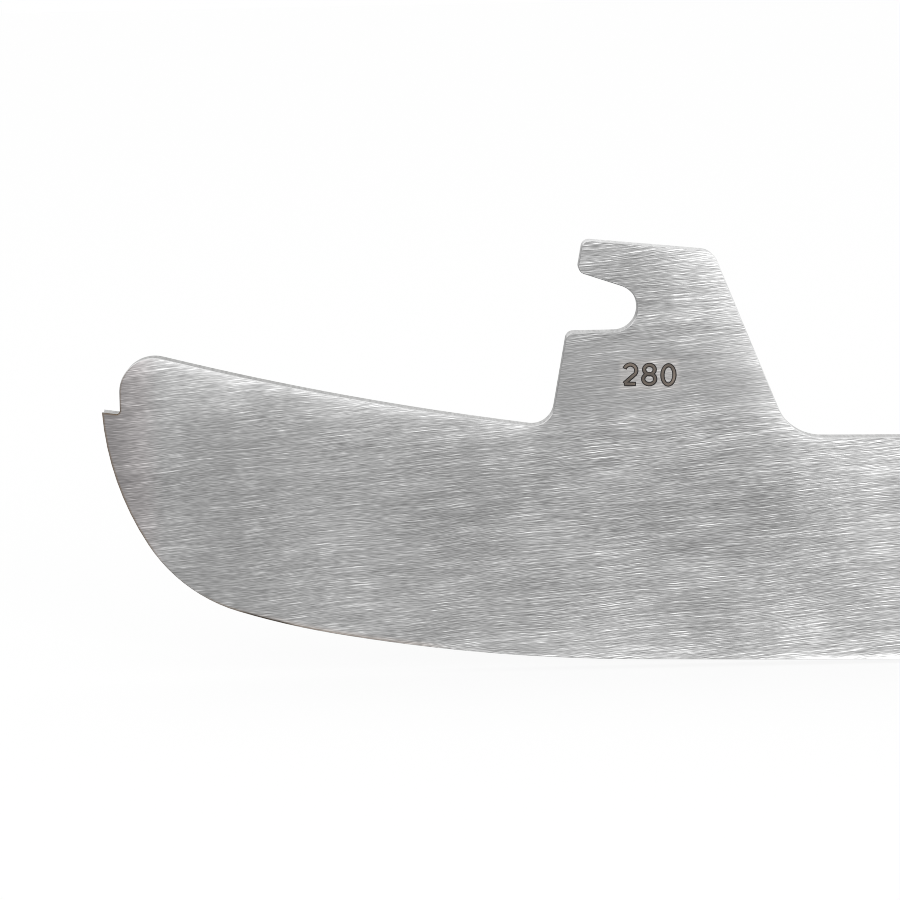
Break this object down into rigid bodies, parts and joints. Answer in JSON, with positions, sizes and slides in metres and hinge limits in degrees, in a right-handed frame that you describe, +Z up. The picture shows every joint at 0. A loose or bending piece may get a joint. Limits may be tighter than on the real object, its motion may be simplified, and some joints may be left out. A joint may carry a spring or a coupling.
{
  "type": "hockey skate runner",
  "caption": "Flat stainless steel hockey skate blade with a rockered, hollow-ground ice edge, an upswept toe and two open hook tabs that hang it in the skate's holder.",
  "frame": {"origin": "mid-length and mid-thickness, on the lowest line of the ice edge", "axes": "+X from toe to heel, +Y across the plate away from the marked face, +Z up from the ice"},
  "size_m": [0.28, 0.003, 0.0481],
  "materials": {
    "blade_steel": "fine brushed stainless steel",
    "mark_oxide": "matt dark laser oxide"
  },
  "bodies": {
    "root": {"runner_blade": "blade_steel", "size_mark": "mark_oxide"}
  },
  "joints": []
}
